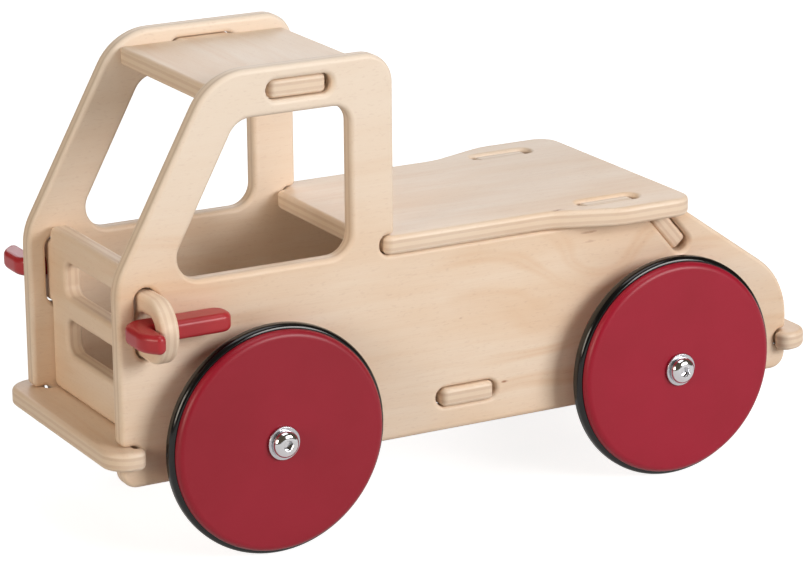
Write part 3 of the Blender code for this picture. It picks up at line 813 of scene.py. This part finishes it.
def make_cross_panels():
    roof = wood("birch_roof", 5.0, along_x=False)
    floor = wood("birch_floor", 7.0, along_x=False)
    brace = wood("birch_brace", 9.0, along_x=False)
    seat = wood("birch_seat", 13.0, knots=SEAT_KNOTS)
    grille = wood("birch_grille", 15.0)
    plate("roof_panel", [roof_rim()], (0, 0, ROOF_PANEL_Z), FLAT, roof)
    plate("floor_panel", [floor_rim()], (0, 0, FLOOR_Z), FLAT, floor)
    plate("brace_panel", [brace_rim()], (BRACE_X, 0, BRACE_Z), (0, -BRACE_ANGLE, 0), brace)
    plate("seat_plate", seat_outlines(), (0, 0, SEAT_Z), FLAT, seat)
    plate("grille_panel", grille_outlines(), (GRILLE_X, 0, 0), CROSSWISE, grille)


def make_bumpers():
    front = wood("birch_bumper_front", 17.0, along_x=False)
    rear = wood("birch_bumper_rear", 19.0, along_x=False)
    plate("front_bumper", [bumper_rim()], (BUMPER_END_X["front"], 0, BUMPER_Z), FLAT, front)
    plate("rear_bumper", [bumper_rim()], (-BUMPER_END_X["rear"], 0, BUMPER_Z), ABOUT_FACE, rear)


def make_keys():
    for word, side, seed in (("left", 1, 2.0), ("right", -1, 6.0)):
        finish = paint("key_paint_" + word, seed, KEY_RED, coat=0.20, rough=0.30)
        plate("key_" + word, [key_rim(side)], (KEY_TAIL_X, 0, KEY_Z), FLAT, finish,
              "locking_key_" + word, KEY_EDGE)


# ---- Wheels ----------------------------------------------------------------------
def disc_profile():
    half = WHEEL_WIDTH / 2
    groove_radius = TYRE_RADIUS - TYRE_DEPTH - FIT
    groove_half = TYRE_WIDTH / 2 + FIT
    shoulder_r = WHEEL_RADIUS - WHEEL_EDGE
    shoulder_z = half - WHEEL_EDGE
    return [
        (AXLE_BORE, half - SMALL_CHAMFER),
        (AXLE_BORE + SMALL_CHAMFER, half),
        *quarter_arc((shoulder_r, shoulder_z), WHEEL_EDGE, 90, WHEEL_EDGE_STEPS),
        (WHEEL_RADIUS, groove_half),
        (groove_radius, groove_half),
        (groove_radius, -groove_half),
        (WHEEL_RADIUS, -groove_half),
        *quarter_arc((shoulder_r, -shoulder_z), WHEEL_EDGE, 0, WHEEL_EDGE_STEPS),
        (AXLE_BORE + SMALL_CHAMFER, -half),
        (AXLE_BORE, -half + SMALL_CHAMFER),
    ]


def tyre_profile():
    half = TYRE_WIDTH / 2
    inner = TYRE_RADIUS - TYRE_DEPTH
    centre = TYRE_RADIUS - TYRE_EDGE
    return [
        (inner, half - SMALL_CHAMFER),
        (inner + SMALL_CHAMFER, half),
        *quarter_arc((centre, half - TYRE_EDGE), TYRE_EDGE, 90, TYRE_EDGE_STEPS),
        *quarter_arc((centre, -half + TYRE_EDGE), TYRE_EDGE, 0, TYRE_EDGE_STEPS),
        (inner + SMALL_CHAMFER, -half),
        (inner, -half + SMALL_CHAMFER),
    ]


def washer_profile():
    half = WASHER_THICKNESS / 2
    return [
        (WASHER_BORE, half),
        (WASHER_RADIUS - WASHER_CHAMFER, half),
        (WASHER_RADIUS - WASHER_CREASE, half - WASHER_CREASE),
        (WASHER_RADIUS, half - WASHER_CHAMFER),
        (WASHER_RADIUS, -half + WASHER_CHAMFER),
        (WASHER_RADIUS - WASHER_CHAMFER, -half),
        (WASHER_BORE, -half),
    ]


def bolt_profile():
    """Button head with a domed top and a round rim, above a plain shank."""
    dome = []
    for step in range(1, DOME_STEPS + 1):
        angle = math.radians(90 * step / DOME_STEPS)
        radius = BOLT_FLAT + (BOLT_RADIUS - BOLT_FLAT) * math.sin(angle)
        height = BOLT_RIM + (BOLT_HEIGHT - BOLT_RIM) * math.cos(angle)
        dome.append((radius, height))
    return [
        (0.0, BOLT_HEIGHT),
        (BOLT_FLAT - BOLT_CHAMFER, BOLT_HEIGHT),
        (BOLT_FLAT, BOLT_HEIGHT - BOLT_FLAT_DROP),
        *dome,
        (BOLT_RADIUS, BOLT_CHAMFER),
        (BOLT_RADIUS - BOLT_CHAMFER, 0.0),
        (SHANK_RADIUS, 0.0),
        (SHANK_RADIUS, -SHANK_LENGTH),
        (0.0, -SHANK_LENGTH),
    ]


def cut_socket(bolt, turn_degrees):
    """Cut a hexagonal key socket into a bolt's head."""
    corner_radius = SOCKET_WIDTH / math.sqrt(3)
    turn = Matrix.Rotation(math.radians(turn_degrees), 3, "Z")
    cutter_mesh = bpy.data.meshes.new("socket_cutter")
    shape = bmesh.new()
    bmesh.ops.create_cone(shape, cap_ends=True, segments=6, radius1=corner_radius,
                          radius2=corner_radius, depth=2 * SOCKET_DEPTH)
    bmesh.ops.rotate(shape, verts=shape.verts[:], cent=(0, 0, 0), matrix=turn)
    bmesh.ops.translate(shape, verts=shape.verts[:], vec=(0, 0, BOLT_HEIGHT))
    shape.to_mesh(cutter_mesh)
    shape.free()
    cutter = bpy.data.objects.new("socket_cutter", cutter_mesh)
    bpy.context.scene.collection.objects.link(cutter)
    cutter.matrix_world = bolt.matrix_world.copy()
    cut = bolt.modifiers.new("Socket", "BOOLEAN")
    cut.operation = "DIFFERENCE"
    cut.solver = "EXACT"
    cut.object = cutter
    bpy.context.view_layer.update()
    graph = bpy.context.evaluated_depsgraph_get()
    mesh = bpy.data.meshes.new_from_object(bolt.evaluated_get(graph))
    mesh.shade_smooth()
    mesh.set_sharp_from_angle(angle=SOCKET_CREASE_ANGLE)
    bolt.modifiers.clear()
    bolt.data = mesh
    bpy.data.objects.remove(cutter)


def make_wheel(end, word, side, seed):
    """One wheel: its disc and tyre turn, and its washer and bolt stay with the body."""
    place = end + "_" + word
    body = "wheel_" + place
    x = AXLE_X[end]
    turn = (-side * math.pi / 2, 0, 0)
    hub = (x, side * (WHEEL_OUTER_Y - WHEEL_WIDTH / 2), AXLE_Z)
    washer_place = (x, side * (WHEEL_OUTER_Y + FIT + WASHER_THICKNESS / 2), AXLE_Z)
    bolt_place = (x, side * (WHEEL_OUTER_Y + 2 * FIT + WASHER_THICKNESS), AXLE_Z)
    red = paint("wheel_paint_" + place, seed, WHEEL_RED_LIT_AND_SHADED[end])
    turned("wheel_disc_" + place, disc_profile(), True, WHEEL_STEPS,
           hub, turn, red, body)
    black = rubber("tyre_rubber_" + place, seed)
    turned("tyre_" + place, tyre_profile(), True, WHEEL_STEPS,
           hub, turn, black, body)
    steel = metal("washer_steel_" + place, seed, WASHER_STEEL, 0.20, 0.34)
    turned("washer_" + place, washer_profile(), True, FITTING_STEPS,
           washer_place, turn, steel, BODY)
    chrome = metal("bolt_chrome_" + place, seed, BOLT_CHROME, 0.07, 0.16)
    bolt = turned("bolt_" + place, bolt_profile(), False, FITTING_STEPS,
                  bolt_place, turn, chrome, BODY)
    cut_socket(bolt, SOCKET_TURN + SOCKET_TURN_STEP * seed)


def make_wheels():
    make_wheel("front", "left", 1, 1.0)
    make_wheel("front", "right", -1, 2.0)
    make_wheel("rear", "left", 1, 3.0)
    make_wheel("rear", "right", -1, 4.0)


def dress_hidden_nodes():
    """The axles and spacers keep their CAD shapes and get better materials."""
    steel = metal("axle_bar_steel", 4.0, AXLE_STEEL, 0.22, 0.36, (900, 40, 900))
    plain = nylon("spacer_nylon_black")
    for name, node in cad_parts.items():
        if name.startswith("axle"):
            finish = steel
        elif name.startswith("spacer"):
            finish = plain
        else:
            continue
        for slot in node.material_slots:
            slot.material = finish


# ---- Studio ----------------------------------------------------------------------
def make_floor():
    """Pale floor that glows white to the camera, and less so in the pieces' reflections."""
    mesh = bpy.data.meshes.new("studio_floor")
    shape = bmesh.new()
    bmesh.ops.create_grid(shape, x_segments=4, y_segments=4, size=FLOOR_SIZE)
    shape.to_mesh(mesh)
    shape.free()
    floor = bpy.data.objects.new("studio_floor", mesh)
    bpy.context.scene.collection.objects.link(floor)
    n = Nodes("studio_floor_paper")
    mottle = n.noise(n.coordinates(), (3.0, 3.0, 3.0))
    n.set("Base Color", n.mix(mottle, (0.50, 0.50, 0.50, 1), (0.52, 0.52, 0.52, 1)))
    n.set("Roughness", 0.9)
    n.set("Specular IOR Level", 0.1)
    n.set("Emission Color", WHITE)
    path = n.add("ShaderNodeLightPath")
    seen = n.math("MULTIPLY_ADD", path.outputs["Is Glossy Ray"], MIRRORED_GLOW, path.outputs["Is Camera Ray"])
    n.set("Emission Strength", n.math("MULTIPLY", seen, FLOOR_GLOW))
    mesh.materials.append(n.material)


def make_world():
    """Dim warm fill light, with a plain white backdrop beyond the floor's far edge."""
    world = bpy.data.worlds.new("studio_world")
    bpy.context.scene.world = world
    world.use_nodes = True
    tree = world.node_tree
    fill = tree.nodes["Background"]
    fill.inputs["Color"].default_value = FILL_COLOUR
    fill.inputs["Strength"].default_value = FILL_STRENGTH
    backdrop = tree.nodes.new("ShaderNodeBackground")
    backdrop.inputs["Color"].default_value = WHITE
    path = tree.nodes.new("ShaderNodeLightPath")
    choice = tree.nodes.new("ShaderNodeMixShader")
    tree.links.new(path.outputs["Is Camera Ray"], choice.inputs[0])
    tree.links.new(fill.outputs[0], choice.inputs[1])
    tree.links.new(backdrop.outputs[0], choice.inputs[2])
    tree.links.new(choice.outputs[0], tree.nodes["World Output"].inputs["Surface"])


def soft_light(name, azimuth, elevation, distance, size, power, colour):
    """Area light aimed at the truck. Azimuth is measured from +X towards +Y."""
    data = bpy.data.lights.new(name, "AREA")
    data.shape = "RECTANGLE"
    data.size = size[0]
    data.size_y = size[1]
    data.energy = power
    data.color = colour
    light = bpy.data.objects.new(name, data)
    bpy.context.scene.collection.objects.link(light)
    a = math.radians(azimuth)
    e = math.radians(elevation)
    direction = Vector((math.cos(a) * math.cos(e), math.sin(a) * math.cos(e), math.sin(e)))
    light.location = LIGHT_TARGET + distance * direction
    light.rotation_euler = (LIGHT_TARGET - light.location).to_track_quat("-Z", "Y").to_euler()


def make_camera():
    level_x = -math.sin(CAMERA_YAW) * math.cos(CAMERA_PITCH)
    level_y = -math.cos(CAMERA_YAW) * math.cos(CAMERA_PITCH)
    forward = Vector((level_x, level_y, -math.sin(CAMERA_PITCH)))
    level = forward.cross(Vector((0, 0, 1))).normalized()
    upright = level.cross(forward)
    right = math.cos(CAMERA_ROLL) * level + math.sin(CAMERA_ROLL) * upright
    up = -math.sin(CAMERA_ROLL) * level + math.cos(CAMERA_ROLL) * upright
    data = bpy.data.cameras.new("camera")
    data.sensor_width = CAMERA_SENSOR
    data.lens = CAMERA_LENS
    data.clip_start = 0.05
    data.clip_end = 60.0
    camera = bpy.data.objects.new("camera", data)
    bpy.context.scene.collection.objects.link(camera)
    matrix = Matrix((right, up, -forward)).transposed().to_4x4()
    matrix.translation = CAMERA_PLACE
    camera.matrix_world = matrix
    bpy.context.scene.camera = camera


make_side_panels()
make_cross_panels()
make_bumpers()
make_keys()
make_wheels()
dress_hidden_nodes()
make_floor()
make_world()
make_camera()
for light_row in LIGHTS:
    soft_light(*light_row)

settings = bpy.context.scene.view_settings
settings.view_transform = "Standard"
settings.look = "None"
settings.exposure = 0.0
settings.gamma = 1.0
